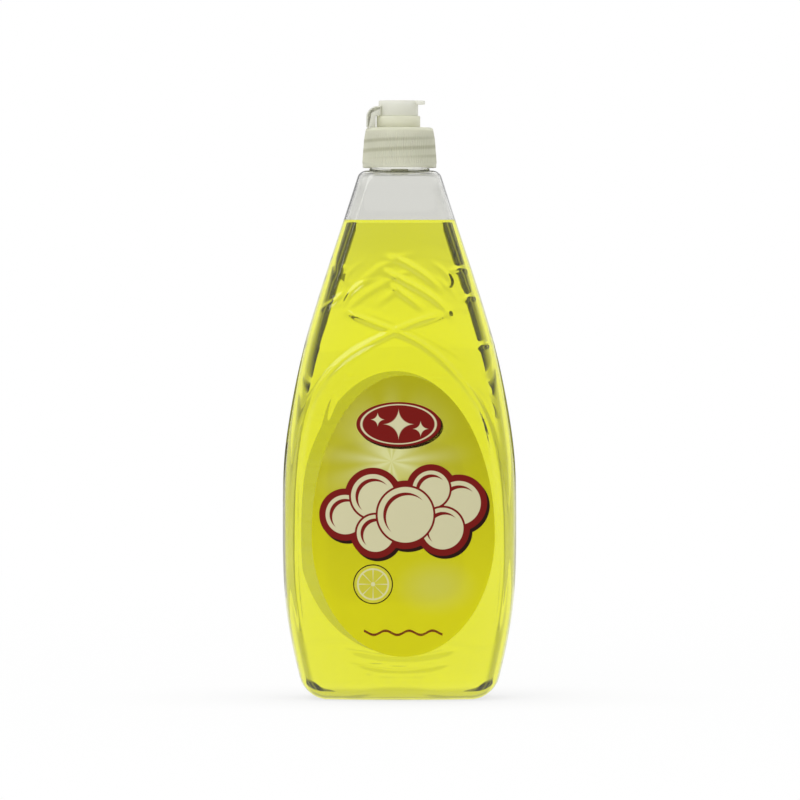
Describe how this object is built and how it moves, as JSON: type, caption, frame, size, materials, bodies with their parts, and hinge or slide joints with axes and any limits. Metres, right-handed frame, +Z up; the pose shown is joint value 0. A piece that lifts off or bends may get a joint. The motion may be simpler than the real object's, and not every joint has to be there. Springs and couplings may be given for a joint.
{
  "type": "dish soap bottle",
  "caption": "Tall clear blown bottle of yellow liquid soap, shaped like a drop, with oval labels, a ribbed screw cap and a flip lid over its spout.",
  "frame": {"origin": "on the ground plane under the middle of the bottle", "axes": "+Z up along the bottle to the lid; +Y from the front label to the back label; +X to the lid's thumb tab, the right of the picture"},
  "size_m": [0.1018, 0.0538, 0.26],
  "materials": {
    "clear_bottle": "gloss",
    "yellow_liquid": "gloss",
    "front_print": "gloss",
    "back_print": "gloss",
    "white_foam": "matte",
    "natural_plastic": "satin",
    "lid_plastic": "satin"
  },
  "bodies": {
    "bottle": {"bottle": "clear_bottle", "detergent": "yellow_liquid", "front_label": "front_print", "back_label": "back_print"},
    "seal": {"seal_liner": "white_foam"},
    "cap": {"cap_body": "natural_plastic"},
    "lid": {"flip_lid": "lid_plastic"}
  },
  "joints": [
    {"name": "cap_lift", "type": "slide", "parent": "bottle", "child": "seal", "axis": [0, 0, 1], "range_m": [0, 0.00846]},
    {"name": "cap_turn", "type": "hinge", "parent": "seal", "child": "cap", "pos_m": [0, 0, 0.24], "axis": [0, 0, 1], "range_deg": [0, 720]},
    {"name": "lid_hinge", "type": "hinge", "parent": "cap", "child": "lid", "pos_m": [-0.0141, 0, 0.24875], "axis": [0, -1, 0], "range_deg": [0, 130]}
  ],
  "couplings": [
    {"joint": "cap_turn", "follows": "cap_lift", "rad_per_m": 1484.3}
  ]
}
